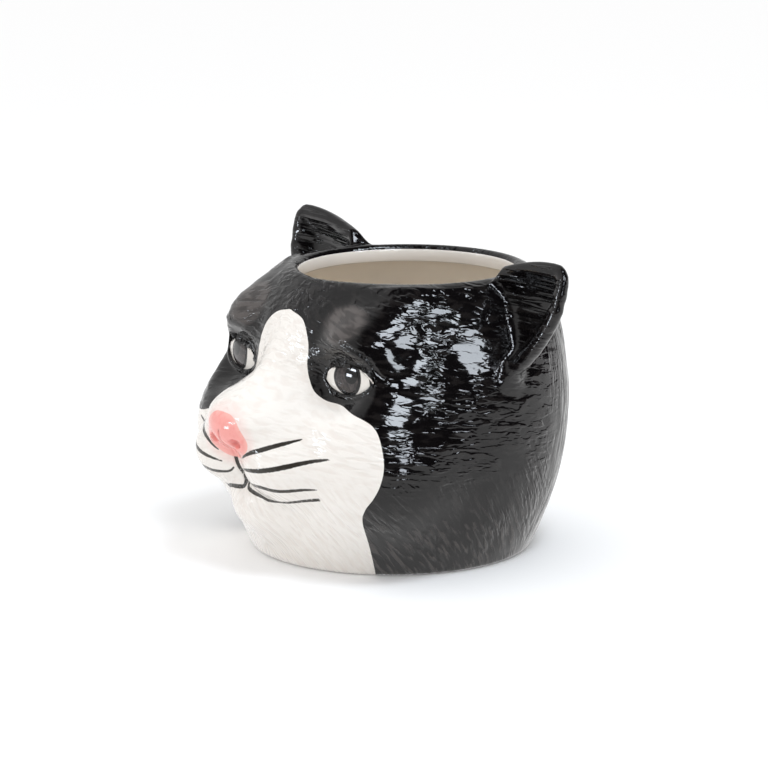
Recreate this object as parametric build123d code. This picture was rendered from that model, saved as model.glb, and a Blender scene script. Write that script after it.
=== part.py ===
from build123d import *
from math import cos, hypot, pi, radians, sin, sqrt, tan
import os

# Planter in the form of a cat's head, slip-cast in ceramic and glazed.
# Millimetres, +Z up. The face looks along -Y and the cat's left is +X.

# Driving dimensions of the pot
belly_radius = 60.0
belly_height = 50.0
foot_radius = 46.0
rim_height = 95.0
rim_radius = 40.7
mouth_radius = 36.7
mouth_setback = 6.5
wall = 4.5
lining_glaze = 0.8
collar_thick = 2.0
collar_height = 6.0
collar_round = 0.8
floor_thick = 4.0
foot_ring_height = 1.5
foot_ring_width = 6.5
foot_ring_inset = 0.6
overrun = 10.0

# How full the wall is above its widest place, and how it leans back to the mouth
shoulder_power = 2.35
lean_start_share = 0.32

# Flat of the face: the place on the midline, and how far it leans back
face_flat_shares = (-0.708, 0.758)
face_flat_lean = 20.0
face_flat_blend_share = 0.167

# Soft forms of the head: centre and radii as shares of the belly radius, and in
# height of the rim height, then tilt about X, turn about Z, and the blend's share
forehead_shares = ((0.0, -0.183, 0.779), (0.667, 0.508, 0.221), 0.0, 0.0, 0.133)
cheek_shares = ((0.55, -0.45, 0.40), (0.433, 0.417, 0.253), 0.0, 0.0, 0.167)
brow_shares = ((0.533, -0.50, 0.81), (0.233, 0.242, 0.121), 8.0, 0.0, 0.117)
pad_shares = ((0.25, -0.825, 0.384), (0.283, 0.267, 0.132), 0.0, 0.0, 0.10)
chin_shares = ((0.0, -0.758, 0.21), (0.283, 0.242, 0.116), 0.0, 0.0, 0.083)
socket_shares = ((0.525, -0.833, 0.70), (0.317, 0.225, 0.126), 0.0, 10.0, 0.067)
eyeball_shares = ((0.517, -0.505, 0.695), (0.242, 0.167, 0.121), 0.0, 10.0, 0.0)
muzzle_shares = ((0.0, -0.767, 0.51), (0.417, 0.352, 0.132), 0.0, 0.0, 0.10)
nose_shares = ((0.0, -1.038, 0.487), (0.173, 0.112, 0.078), 0.0, 0.0, 0.0)
muzzle_hollow_shares = ((0.0, -0.70, 0.41), (0.367, 0.30, 0.137), 0.0, 0.0, 0.133)

# Rounded ridge of the nose's bridge: its two ends, a radius share at each, and the blend
bridge_shares = ((0.0, -0.517, 0.81), (0.0, -0.775, 0.60), 0.146, 0.146, 0.117)

# Left ear: where its front face meets the rim and the cheek, and its tip
ear_rim_shares = (0.55, 0.23, 1.016)
ear_cheek_shares = (0.975, 0.083, 0.674)
ear_tip_shares = (1.217, 0.242, 1.105)
ear_width = 40.6
ear_length = 75.0
ear_depth = 26.0
ear_across = 22.5
ear_along = 1.5
ear_front = 1.5
ear_crown = 4.0
hollow_width = 25.0
hollow_length = 42.0
hollow_depth = 18.0
hollow_crown = 5.0
hollow_lean = 15.0
hollow_across = 27.0
hollow_along = 16.0

# Oval of iris and pupil, standing proud of the eyeball and a little nearer to the nose
iris_width = 12.6
iris_height = 9.5
iris_inward = 0.8
iris_proud = 0.4

# Half of the white front's outline, from the blaze on the forehead down to the foot:
# bearing from the middle of the face as shares of a quarter turn, and shares of the rim height
white_front_shares = [
    (0.0, 0.89), (0.128, 0.865), (0.202, 0.796), (0.213, 0.71), (0.258, 0.646),
    (0.333, 0.617), (0.431, 0.61), (0.524, 0.588), (0.573, 0.547), (0.594, 0.455),
    (0.586, 0.385), (0.563, 0.328), (0.532, 0.277), (0.521, 0.21), (0.548, 0.0),
]
white_front_start_share = 0.13

# Sections that the cast wall is drawn through
level_count = 26
spoke_count = 64
front_crowding = 0.4


def place(shares):
    """A place in the head from its shares of the belly radius and the rim height."""
    return (shares[0] * belly_radius, shares[1] * belly_radius, shares[2] * rim_height)


def soft_union(a, b, blend):
    """The smaller of two distances, with a fillet of the given blend."""
    share = min(max((blend + b - a) / (blend + blend), 0), 1)
    return b + (a - b) * share - blend * share * (1 - share)


def soft_cut(a, b, blend):
    """The larger of two distances, with a fillet of the given blend."""
    return -soft_union(-a, -b, blend)


def swell_distance(spot, form):
    """Distance from a spot to a tilted and turned ellipsoid, less than zero inside."""
    centre, radii, tilt, turn, _ = form
    middle = place(centre)
    radius = place(radii)
    x, y, z = (spot[axis] - middle[axis] for axis in range(3))
    across = x * cos(radians(turn)) + y * sin(radians(turn))
    out = y * cos(radians(turn)) - x * sin(radians(turn))
    along = out * cos(radians(tilt)) + z * sin(radians(tilt))
    up = z * cos(radians(tilt)) - out * sin(radians(tilt))
    reach = sqrt(sum((part / size) ** 2 for part, size in zip((across, along, up), radius)))
    slope = sqrt(sum((part / size ** 2) ** 2 for part, size in zip((across, along, up), radius)))
    return reach * (reach - 1) / slope if slope > 0 else -min(radius)


def ridge_distance(spot, form):
    """Distance from a spot to a rounded ridge that tapers between its two ends."""
    start, end, start_share, end_share, _ = form
    a = place(start)
    b = place(end)
    run = [b[axis] - a[axis] for axis in range(3)]
    gone = [spot[axis] - a[axis] for axis in range(3)]
    share = sum(r * g for r, g in zip(run, gone)) / sum(r * r for r in run)
    share = min(max(share, 0), 1)
    radius = belly_radius * (start_share + (end_share - start_share) * share)
    return sqrt(sum((g - r * share) ** 2 for r, g in zip(run, gone))) - radius


def pot_radius(z):
    """Radius of the plain turned pot at a height, without its face."""
    if z < belly_height:
        fall = (belly_height - z) / belly_height
        return belly_radius - (belly_radius - foot_radius) * fall ** 2
    rise = (z - belly_height) / (rim_height - belly_height)
    return belly_radius - (belly_radius - rim_radius) * rise ** shoulder_power


def lean_back(z):
    """How far the pot's middle has moved back towards the mouth at a height."""
    rise = (z / rim_height - lean_start_share) / (1 - lean_start_share)
    rise = min(max(rise, 0), 1)
    return mouth_setback * rise * rise * (3 - 2 * rise)


def skull_distance(spot):
    """Distance from a spot to the pot with its flat, brows and cheeks, but no muzzle."""
    x, y, z = spot
    distance = hypot(x, y - lean_back(z)) - pot_radius(z)
    flat_y = face_flat_shares[0] * belly_radius
    flat_z = face_flat_shares[1] * rim_height
    lean = radians(face_flat_lean)
    flat = (flat_y - y) * cos(lean) + (z - flat_z) * sin(lean)
    distance = soft_cut(distance, flat, face_flat_blend_share * belly_radius)
    for form in (forehead_shares, cheek_shares, brow_shares):
        distance = soft_union(distance, swell_distance(spot, form), form[-1] * belly_radius)
    return distance


def head_distance(spot, hollow):
    """Distance from a spot to the outside of the head, or to its plainer form for the hollow."""
    side = (abs(spot[0]), spot[1], spot[2])
    distance = skull_distance(side)
    if not hollow:
        bridge = ridge_distance(side, bridge_shares)
        distance = soft_union(distance, bridge, bridge_shares[-1] * belly_radius)
    swells = (muzzle_hollow_shares,) if hollow else (muzzle_shares, pad_shares, chin_shares)
    for form in swells:
        distance = soft_union(distance, swell_distance(side, form), form[-1] * belly_radius)
    socket = -swell_distance(side, socket_shares)
    return soft_cut(distance, socket, socket_shares[-1] * belly_radius)


def wall_reach(angle, z, inset):
    """How far out from the pot's middle the wall lies, inset from the outside."""
    near = mouth_radius / 2
    far = 2 * belly_radius
    for _ in range(26):
        reach = (near + far) / 2
        spot = (reach * cos(angle), lean_back(z) + reach * sin(angle), z)
        if head_distance(spot, inset > 0) < -inset:
            near = reach
        else:
            far = reach
    return near


def head_section(z, inset):
    """Closed curve round the head at a height, with more of its places at the face."""
    points = []
    for spoke in range(spoke_count):
        turn = 2 * pi * spoke / spoke_count - pi
        angle = turn - front_crowding * sin(turn) - pi / 2
        reach = wall_reach(angle, z, inset)
        points.append(Vector(reach * cos(angle), lean_back(z) + reach * sin(angle), z))
    knots = [float(spoke) for spoke in range(spoke_count + 1)]
    return Face(Wire([Edge.make_spline(points, periodic=True, parameters=knots)]))


def head_form(bottom, top, inset):
    """Solid between two heights, inset from the outside of the head."""
    levels = [bottom + (top - bottom) * level / (level_count - 1) for level in range(level_count)]
    return Solid() + loft([head_section(z, inset) for z in levels])


def swell_solid(form, growth=0.0):
    """The ellipsoid of a soft form as a solid, grown by a length."""
    middle = place(form[0])
    radius = [size + growth for size in place(form[1])]
    ball = scale(Rot(Z=90) * Sphere(1), by=tuple(radius))
    return Pos(*middle) * Rot(Z=form[3]) * Rot(X=form[2]) * ball


def mouth_axis(z):
    """Place on the mouth's axis at a height."""
    return Pos(0, mouth_setback, z)


def drum(radius, bottom, top):
    """Upright cylinder on the mouth's axis between two heights."""
    height = top - bottom
    return mouth_axis(bottom) * Cylinder(radius, height, align=(Align.CENTER, Align.CENTER, Align.MIN))


def slab(bottom, top):
    """Block wider than the head between two heights."""
    side = 4 * belly_radius
    return Pos(0, 0, bottom) * Box(side, side, top - bottom, align=(Align.CENTER, Align.CENTER, Align.MIN))


def white_front_outline(out):
    """Face with the white front's outline, seen from the pot's middle, at a distance out."""
    right = [(out * tan(share * pi / 2), z * rim_height) for share, z in white_front_shares]
    left = [(-x, z) for x, z in reversed(right[1:])]
    low_right = (right[-1][0], -overrun)
    low_left = (left[0][0], -overrun)
    plane = Plane.XZ.offset(out)
    edges = [plane * Spline(*left, *right), plane * Polyline(left[0], low_left, low_right, right[-1])]
    return make_face(edges)


def white_front_block():
    """Block that widens from the pot's middle out through the face."""
    start = white_front_outline(white_front_start_share * belly_radius)
    return loft([start, white_front_outline(2 * belly_radius)], ruled=True)


def ear_plane():
    """Plane of the left ear's front face, with X along its foot and Y to its tip."""
    start = Vector(*place(ear_rim_shares))
    foot = Vector(*place(ear_cheek_shares)) - start
    tip = Vector(*place(ear_tip_shares)) - start
    return Plane(origin=start, x_dir=foot, z_dir=foot.cross(tip))


def left_ear_solid(head):
    """Scooped ear, cut to sit on the head and to clear the collar of the mouth."""
    plane = ear_plane()
    blank = scale(Sphere(1), by=(ear_width / 2, ear_length / 2, ear_depth / 2))
    blank = Pos(ear_across, ear_along, ear_crown) * blank
    front = Pos(0, 0, ear_front) * Box(
        2 * ear_length, 2 * ear_length, ear_length, align=(Align.CENTER, Align.CENTER, Align.MIN)
    )
    hollow = scale(Sphere(1), by=(hollow_width / 2, hollow_length / 2, hollow_depth / 2))
    hollow = Pos(hollow_across, hollow_along, hollow_crown) * Rot(Z=hollow_lean) * hollow
    ear = plane * (blank - front - hollow)
    return ear - head - drum(mouth_radius + collar_thick, 0, 2 * rim_height)


def eye_plane():
    """Plane through the middle of the left eyeball, looking out along the eye."""
    turn = radians(eyeball_shares[3])
    across = (cos(turn), sin(turn), 0)
    return Plane(origin=place(eyeball_shares[0]), x_dir=across, z_dir=(sin(turn), -cos(turn), 0))


# The cast wall, its lining and its floor
floor_top = foot_ring_height + floor_thick
collar_base = rim_height - collar_height
collar_radius = mouth_radius + collar_thick
head = head_form(foot_ring_height, rim_height, 0)
inside = head_form(foot_ring_height, collar_base, wall)
cavity = head_form(floor_top + lining_glaze, collar_base, wall + lining_glaze)
cast_wall = head - inside - drum(collar_radius, collar_base, rim_height + overrun)
pot_floor = inside & slab(foot_ring_height, floor_top)
inner_lining = (inside & slab(floor_top, collar_base)) - cavity

# The nose, eyes and ears
nose_pad = swell_solid(nose_shares) - head
left_eyeball = swell_solid(eyeball_shares)
left_eye = left_eyeball - head
iris_outline = Pos(-iris_inward, 0, 0) * Ellipse(iris_width / 2, iris_height / 2)
iris_core = eye_plane() * extrude(iris_outline, 2 * belly_radius)
left_iris = (swell_solid(eyeball_shares, iris_proud) & iris_core) - left_eyeball
left_ear = left_ear_solid(head)

# White glazed front and black glazed remainder of the wall
block = white_front_block()
face_front = cast_wall & block
head_shell = cast_wall - block

# Collar of the mouth and the bare ring that the pot stands on
rim_collar = drum(collar_radius, collar_base, rim_height) - drum(mouth_radius, 0, 2 * rim_height)
lip = rim_collar.edges().filter_by(GeomType.CIRCLE).group_by(Axis.Z)[-1].sort_by(SortBy.RADIUS)[0]
rim_collar = fillet(lip, collar_round)
ring_outer = foot_radius - foot_ring_inset
foot_ring = extrude(Circle(ring_outer) - Circle(ring_outer - foot_ring_width), foot_ring_height)

pieces = {
    "head_shell": head_shell,
    "face_front": face_front,
    "nose_pad": nose_pad,
    "left_ear": left_ear,
    "right_ear": mirror(left_ear, Plane.YZ),
    "left_eye": left_eye,
    "right_eye": mirror(left_eye, Plane.YZ),
    "left_iris": left_iris,
    "right_iris": mirror(left_iris, Plane.YZ),
    "rim_collar": rim_collar,
    "inner_lining": inner_lining,
    "pot_floor": pot_floor,
    "foot_ring": foot_ring,
}

# The origin is on the ground under the middle of the whole planter
reach = Compound([solid for piece in pieces.values() for solid in piece.solids()]).bounding_box()
centring = Pos(0, -(reach.min.Y + reach.max.Y) / 2, 0)

os.makedirs("parts", exist_ok=True)
for name, piece in pieces.items():
    export_step(centring * piece, f"parts/{name}.step")
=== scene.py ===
from math import radians

import bmesh
import bpy
import numpy as np
from bpy.props import FloatProperty, FloatVectorProperty, PointerProperty
from mathutils import Matrix, Vector, noise


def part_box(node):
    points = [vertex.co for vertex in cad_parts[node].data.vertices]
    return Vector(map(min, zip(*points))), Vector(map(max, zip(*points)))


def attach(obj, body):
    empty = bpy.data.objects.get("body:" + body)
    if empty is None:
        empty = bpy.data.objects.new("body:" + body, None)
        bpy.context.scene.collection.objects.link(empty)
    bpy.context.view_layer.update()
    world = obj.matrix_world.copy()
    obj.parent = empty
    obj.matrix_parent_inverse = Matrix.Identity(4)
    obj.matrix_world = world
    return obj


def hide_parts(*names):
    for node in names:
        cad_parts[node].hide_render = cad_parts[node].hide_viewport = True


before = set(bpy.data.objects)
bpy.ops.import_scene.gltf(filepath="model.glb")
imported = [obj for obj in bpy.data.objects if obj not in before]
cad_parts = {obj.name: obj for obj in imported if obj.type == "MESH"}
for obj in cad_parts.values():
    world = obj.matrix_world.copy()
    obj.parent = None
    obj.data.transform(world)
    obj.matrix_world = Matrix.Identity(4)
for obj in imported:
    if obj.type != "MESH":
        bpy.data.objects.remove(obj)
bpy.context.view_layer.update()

bl_info = {
    "name": "Cat head planter",
    "version": (1, 0, 0),
    "blender": (4, 5, 0),
    "location": "3D View > Sidebar > Planter",
    "description": "Glazed ceramic planter in the form of a black and white cat's head",
    "category": "Object",
}

MM = 0.001
# The foot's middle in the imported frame; the form is worked out in millimetres round it.
# The cat faces -Y and its left side is +X.
foot_low, foot_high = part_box("foot_ring")
FOOT_X = (foot_low[0] + foot_high[0]) / 2
FOOT_Y = (foot_low[1] + foot_high[1]) / 2

# The turned pot
BELLY_RADIUS = 60.0
BELLY_HEIGHT = 50.0
FOOT_RADIUS = 47.2
BASE_HEIGHT = 0.25
BASE_ROUND = 0.8
RIM_HEIGHT = 95.0
RIM_RADIUS = 40.7
SHOULDER_BEND = 2.35
# The coat is left open under the pot, where the foot ring is
UNDERSIDE_RADIUS = 44.3
UNDERSIDE_HEIGHT = 1.2

# The mouth and its lip; within LIP_REACH the coat ends at LIP_HEIGHT and the cream collar goes on
MOUTH_RADIUS = 36.7
MOUTH_SETBACK = 6.5
BORE_FLOOR = 86.0
LIP_ROUND = 2.4
LIP_OUTSIDE = 41.5
LIP_FALL = 1.6
LIP_HEIGHT = 93.5
LIP_REACH = 39.5
# Radius and height round the collar, up its bore, over its lip and down its hidden back
COLLAR_PROFILE = [
    (36.75, 89.5), (36.75, 92.9), (36.85, 93.4), (37.3, 93.65), (38.5, 93.65), (38.6, 89.1), (37.1, 89.1),
]

# Rounded forms of the head: centre, radii, tilt about X and turn about Z in degrees
FOREHEAD = ((0, -11, 74), (40, 30.5, 21))
CHEEK = ((33, -27, 38), (26, 25, 24))
BROW = ((32, -29.5, 76), (13.5, 14, 11), 8)
TEMPLE = ((30, -14, 84), (13, 14, 10.5))
MUZZLE = ((0, -46, 48.5), (25, 22.2, 12.5))
WHISKER_PAD = ((15, -49.5, 36.5), (17, 16, 12.5))
CHIN = ((0, -45.5, 20), (17, 14.5, 11))
EYE_SOCKET = ((31.5, -50, 66.5), (17, 12.5, 11), 0, 10)
NOSE_LEATHER = ((0, -61.3, 47.0), (11.0, 7.4, 6.4))
NOSE_WING = ((7.3, -61.0, 43.8), (4.9, 5.6, 4.3))
NOSTRIL = ((6.4, -67.4, 43.4), (2.8, 3.2, 1.6), 0, -20)
# Upper end, lower end and radius of the bridge of the nose
BRIDGE_TOP = (0, -31, 77)
BRIDGE_FOOT = (0, -46.5, 57)
BRIDGE_RADIUS = 8.5
# The flat of the face: a place on it and the way that it looks
FACE_PLACE = np.array([0, -42.5, 72])
FACE_WAY = np.array([0, -0.94, 0.341])
# The forms in the order in which they join the pot, each with how softly it joins
SKULL_FORMS = ((FOREHEAD, 8), (CHEEK, 10), (BROW, 7), (TEMPLE, 6))
MUZZLE_FORMS = ((MUZZLE, 8), (WHISKER_PAD, 6), (CHIN, 5))

# The left ear's own axes: u from the rim to the cheek, v to the tip, and w out of its scooped front
EAR_START = np.array([33, 13.8, 96.5])
EAR_CHEEK = np.array([58.5, 5, 64.0])
EAR_TIP = np.array([73, 14.5, 105.0])
ear_u = (EAR_CHEEK - EAR_START) / np.linalg.norm(EAR_CHEEK - EAR_START)
ear_v = EAR_TIP - EAR_START - ((EAR_TIP - EAR_START) @ ear_u) * ear_u
ear_v = ear_v / np.linalg.norm(ear_v)
EAR_AXES = np.stack([ear_u, ear_v, np.cross(ear_u, ear_v)], 1)
EAR_LOW = np.array([-12, -40, -20])
EAR_HIGH = np.array([56, 50, 16])
EAR_FRONT = 1.5
EAR_BACK = ((22.5, -8, 5), (30, 60, 11.8))
EAR_SCOOP = 5.2
EAR_FIRST_SCOOP = 3.0
EAR_JOIN = 5
# Round blank that the ear is settled from
EAR_BLANK_CENTRE = np.array([22.5, 2, 4])
EAR_BLANK_RADII = np.array([20.3, 37.5, 13])
# Outline of the ear in u and v, from the rim over the tip and down to the cheek
EAR_OUTLINE = [
    (-2, -12), (1.2, -4.8), (2.3, 2.1), (3.8, 9.6), (6.4, 16.6), (8.5, 21.6), (10.8, 26.2), (14.0, 31.6),
    (18.4, 37.6), (21.4, 38.9), (24.8, 38.7), (28.2, 36.2), (31.6, 33.2), (34.6, 29.6), (37.4, 23.6),
    (39.8, 16.6), (41.0, 8.0), (41.2, -0.6), (41, -10), (34, -22), (10, -24),
]

# The left eye's own axes: across, up and out
EYE_CENTRE = np.array([31.5, -39.5, 66.0])
EYE_TURN = 10.0
EYE_AXES = np.array([
    [np.cos(radians(EYE_TURN)), 0, np.sin(radians(EYE_TURN))],
    [np.sin(radians(EYE_TURN)), 0, -np.cos(radians(EYE_TURN))],
    [0, 1, 0],
])
EYEBALL_CENTRE = (31.8, -30.3, 66.0)
EYEBALL_RADII = (21.5, 10.0, 11.5)
# How far the eyeball goes on under the lids, and where its back is left off
EYEBALL_SKIRT = 0.6
EYEBALL_BACK = -8
# Opening between the lids in the eye's own axes, from the inner corner over the top
EYE_OPENING = [
    (-9.9, -1.2), (-8.7, 0.9), (-6.6, 2.6), (-3.6, 3.8), (0.4, 4.4), (4.2, 4.4), (7.6, 3.7), (9.9, 2.5),
    (12.0, 0.8), (11.0, -0.7), (9.6, -1.9), (7.2, -3.2), (4.0, -4.2), (-0.8, -4.7), (-4.6, -4.1),
    (-7.4, -3.1),
]
EYE_MIDDLE = 2
LID_THICKNESS = 0.8
UPPER_LID_EXTRA = 0.6
# How much narrower, thicker and higher the skin of the lids is than the eyeball
LID_COVER = np.array([-5.5, 0.8, 0.3])
# The cut between the lids: its middle and half its depth along the way out of the eye
HOLE_MIDDLE = 2
HOLE_HALF_DEPTH = 6
# The opening of the coat is this much smaller than the opening between the lids
COAT_HOLE_INSET = 0.15
IRIS_CENTRE = (1.2, 0.9)
IRIS_RADII = (6.3, 5.8)
PUPIL_CENTRE = (3.2, 2.3)
PUPIL_RADIUS = 2.9
# In the photograph the cat's right eye sits lower than the left one
RIGHT_EYE_DROP = 2.4

# Lines on the face, as places near the skin that are moved onto it
PHILTRUM = [(0, -66, 39), (0, -64.5, 36), (0, -62.9, 32.1), (0, -60.8, 28.7)]
MOUTH = [
    (0, -60.8, 28.7), (2.2, -58.6, 26.4), (9.5, -58.1, 25.3), (13.2, -56.7, 24.7), (24.4, -54.8, 26.2),
    (33.5, -51.3, 28.2),
]
LID_CREASE = [
    (33.5, -43.4, 79.3), (39, -42.2, 77.3), (42.9, -38.8, 74.6), (43.8, -36.1, 71), (45, -33.5, 68.1),
    (47.5, -30.0, 66),
]
NOSE_GROOVE = [(0, -68.5, 47), (0, -66.9, 42.5), (0, -65.2, 38.5)]
WHISKERS = [
    [(7.2, -65.3, 38.6), (13, -65, 41.5), (18.1, -63.3, 43.4), (22, -60, 45), (27.7, -54.1, 47.6)],
    [(6.7, -63.6, 34.8), (12, -65, 35.7), (18.1, -65.2, 36.6), (25.1, -62.3, 38.3), (32.4, -54.2, 41.0),
     (39.7, -50.1, 42.7)],
    [(2.4, -62.4, 32.2), (5, -62.5, 30.5), (11, -63, 30.6), (17.5, -63, 31.1), (23.5, -60.3, 30.7),
     (34.1, -52.4, 31.9)],
]
# Lines that are cut into the clay, each with its radius and how softly it is cut
CARVED_LINES = (
    (PHILTRUM, 0.45, 0.8), (MOUTH, 0.42, 0.7), (LID_CREASE, 0.4, 0.8), (NOSE_GROOVE, 0.3, 0.6),
)
CARVED_REACH = 2.5
# Half the width of the brushed lines at their widest
WHISKER_WIDTH = 0.82
BRUSHED_LINES = ((PHILTRUM, 0.5), (MOUTH, 0.62))

# Half of the pink nose seen from the front: sideways and up
NOSE_OUTLINE = [
    (0, 53.2), (4.5, 52.8), (7.6, 51.2), (9.6, 49.0), (11.3, 46.4), (12.2, 44.0), (11.4, 41.6),
    (8.6, 39.8), (4.2, 37.6), (0, 36.6),
]
NOSTRIL_PAINT = np.array([5.6, -66.5, 43.5])
NOSTRIL_STRETCH = np.array([0.75, 0.6, 1.2])
# Patch over the eye where the black glaze is painted brownish grey as painted reflection: its middle and its
# reach along each axis
BROW_REFLECTION = (np.array([28.0, -42.0, 84.5]), np.array([12.0, 14.0, 8.0]))

# Edge of the white front on each side, from the blaze down to the foot: bearing from the middle of the
# face in quarter turns, and share of the rim's height
WHITE_EDGE = [
    (0.0, 0.89), (0.128, 0.865), (0.202, 0.796), (0.213, 0.71), (0.258, 0.646), (0.333, 0.617),
    (0.431, 0.61), (0.524, 0.588), (0.573, 0.547), (0.594, 0.455), (0.586, 0.385), (0.563, 0.328),
    (0.532, 0.277), (0.521, 0.21), (0.548, 0.0), (0.56, -0.1),
]
WHITE_EDGE_RIGHT = WHITE_EDGE[:4] + [
    (0.235, 0.62), (0.29, 0.53), (0.38, 0.48), (0.48, 0.46), (0.56, 0.44), (0.59, 0.40), (0.585, 0.36),
] + WHITE_EDGE[11:]
# The edge is measured on a flat map where a quarter turn is this many millimetres; the map is closed
# past the middle of the face, and has no white beyond a bearing
QUARTER_TURN = 80.0
OUT_OF_REACH = -20.0
WHITE_LIMIT = 0.75

# Runs of carved fur: direction in degrees from level, width and length of a stroke, and noise seed
LEVEL_FUR = (-8, 1.7, 6.0, 1.0)
SLANTED_FUR = (-52, 1.5, 6.5, 5.0)
UPRIGHT_FUR = (82, 1.8, 8.0, 9.0)
# Length and width of the coarser ridges that are in the mesh
RIDGE_LENGTH = 10.0
RIDGE_WIDTH = 2.9

# Spacing of the first rough mesh, and balls in which the coat's mesh is made finer
DRAFT_MESH = 1.2
HEAD_MIDDLE = np.array([0, 3.0, 46.0])
# Heights between which the closed top of the first mesh is pushed down into the mouth
SUNK_FROM = 93.0
SUNK_TO = 86.1
REFINE_ONCE = (((31.5, -39, 66), 16), ((8, -58, 42), 23), ((24, -56, 36), 17), ((59, 11, 88), 27))
REFINE_TWICE = (((33.0, -39, 66), 15.5), ((0, -64, 45), 12))

# Fired glaze, and how many cells of each noise pattern there are in a metre
GLAZE_IOR = 1.5
POOLS = 95.0          # black glaze fills the fur in patches about 10 mm across
BRUSH_GRAIN = 900.0   # the brushed lines fray over about 1 mm
MOTTLES = 420.0       # the pink is mottled over 2 to 3 mm
LINING_POOLS = 45.0   # the cream glaze pools over about 20 mm
IRIS_GRAIN = 700.0    # flecks of 1 to 2 mm
CLAY_GRIT = 2500.0    # grit of 0.4 mm

# The photograph's camera, whose focal length and shift were fitted in its pixels
PHOTO_PIXELS = 768
PHOTO_FOCAL = 3290
PHOTO_SHIFT_X = -7.4
PHOTO_SHIFT_Y = 23.7
PHOTO_AZIMUTH = 55.5
PHOTO_ELEVATION = 12.7
PHOTO_DISTANCE = 1.115
PHOTO_AIM_HEIGHT = 0.046
SENSOR_WIDTH = 36

# Studio, in metres: name, direction from the planter, distance, width and height, and power in watts
SOFTBOXES = (
    ("softbox_above", (0.42, 0.05, 0.92), 0.75, (0.26, 0.20), 2.6),
    ("softbox_side_back", (0.74, 0.33, 0.58), 0.80, (0.16, 0.34), 2.4),
    ("softbox_side_front", (0.72, -0.26, 0.64), 0.80, (0.17, 0.26), 2.4),
    ("softbox_low", (0.97, -0.13, 0.20), 0.85, (0.14, 0.30), 1.8),
    ("catchlight_high", (-0.478, -0.846, 0.247), 0.90, (0.10, 0.065), 0.6),
    ("catchlight_low", (-0.534, -0.846, 0.023), 0.90, (0.09, 0.085), 0.6),
)
LIGHT_AIM = (0.03, FOOT_Y, 0.06)
FLOOR_REACH = 6.0
FLOOR_WHITE = (0.86, 0.86, 0.86, 1)
# Ways in which the floor and the room go dark where the glaze mirrors them
FLOOR_WAY = (0.9, -0.35, 0.0)
ROOM_WAY = (0.93, 0.20, 0.28)

# Settings that several shader nodes share
SMOOTH = {"interpolation_type": "SMOOTHSTEP"}
ADD = {"operation": "ADD"}
MULTIPLY = {"operation": "MULTIPLY"}
MULTIPLY_ADD = {"operation": "MULTIPLY_ADD"}
COLOURS = {"data_type": "RGBA"}

STEPS = ("planter.stage", "planter.coat", "planter.eyes", "planter.inside")


def linear(hex_colour):
    """Linear colour from an sRGB hex value."""
    parts = [int(hex_colour[i:i + 2], 16) / 255 for i in (1, 3, 5)]
    return tuple(c / 12.92 if c <= 0.04045 else ((c + 0.055) / 1.055) ** 2.4 for c in parts)


# Colours that are not among the scene's glaze settings
# Brownish grey that the black glaze is painted towards as painted reflection, on the brows and on the fur
# crests, most on the low neck
REFLECTION_GREY = (*linear("#6c6562"), 1)
# Greyer white painted into the grooves of the fur as painted shade
GROOVE_SHADE_WHITE = (*linear("#e9e2db"), 1)
EDGE_PINK = (*linear("#f7bdb2"), 1)
MOTTLE_PINK = (*linear("#ec8f8a"), 1)
NOSTRIL_PINK = (*linear("#c75f5f"), 1)
EYE_WHITE = (*linear("#ebe6df"), 1)
IRIS_DARK = (*linear("#2c2727"), 1)
IRIS_LIGHT = (*linear("#443d3c"), 1)
RING_BLACK = (*linear("#060505"), 1)
PUPIL_BLACK = (*linear("#040404"), 1)


# Distances, in millimetres: less than zero inside a form

def smooth_step(x, low, high):
    """Share from 0 to 1 of the way between two limits, eased at both ends."""
    t = np.clip((x - low) / (high - low), 0, 1)
    return t * t * (3 - 2 * t)


def soft_union(a, b, blend):
    """Two forms joined with a fillet."""
    h = np.clip(0.5 + 0.5 * (b - a) / blend, 0, 1)
    return b * (1 - h) + a * h - blend * h * (1 - h)


def soft_cut(a, b, blend):
    """What two forms share, with a rounded edge; a cut when b is the cutter turned inside out."""
    return -soft_union(-a, -b, blend)


def ellipsoid(p, centre, radii, tilt=0.0, turn=0.0):
    """Distance to an ellipsoid turned about Z and then tilted about X."""
    q = p - np.array(centre, float)
    c, s = np.cos(radians(turn)), np.sin(radians(turn))
    across, out = q[:, 0] * c + q[:, 1] * s, q[:, 1] * c - q[:, 0] * s
    c, s = np.cos(radians(tilt)), np.sin(radians(tilt))
    q = np.stack([across, out * c + q[:, 2] * s, q[:, 2] * c - out * s], 1)
    r = np.array(radii, float)
    reach = np.sqrt(((q / r) ** 2).sum(1))
    slope = np.sqrt(((q / (r * r)) ** 2).sum(1)) + 1e-9
    return reach * (reach - 1) / slope


def rounded_bar(p, a, b, radius):
    """Distance to a round bar with round ends."""
    a = np.array(a, float)
    run = np.array(b, float) - a
    share = np.clip(((p - a) @ run) / (run @ run), 0, 1)
    return np.linalg.norm(p - a - share[:, None] * run, axis=1) - radius


def line_distance(p, points):
    """Distance to a chain of straight runs, and the share of its length at the nearest place."""
    points = np.array(points, float)
    runs = np.diff(points, axis=0)
    lengths = np.linalg.norm(runs, axis=1)
    starts = np.concatenate([[0], np.cumsum(lengths)])
    best = np.full(len(p), 1e9)
    where = np.zeros(len(p))
    for a, run, length, start in zip(points, runs, lengths, starts):
        t = np.clip(((p - a) @ run) / (length * length), 0, 1)
        d = np.linalg.norm(p - a - t[:, None] * run, axis=1)
        near = d < best
        best[near] = d[near]
        where[near] = (start + t[near] * length) / starts[-1]
    return best, where


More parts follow.
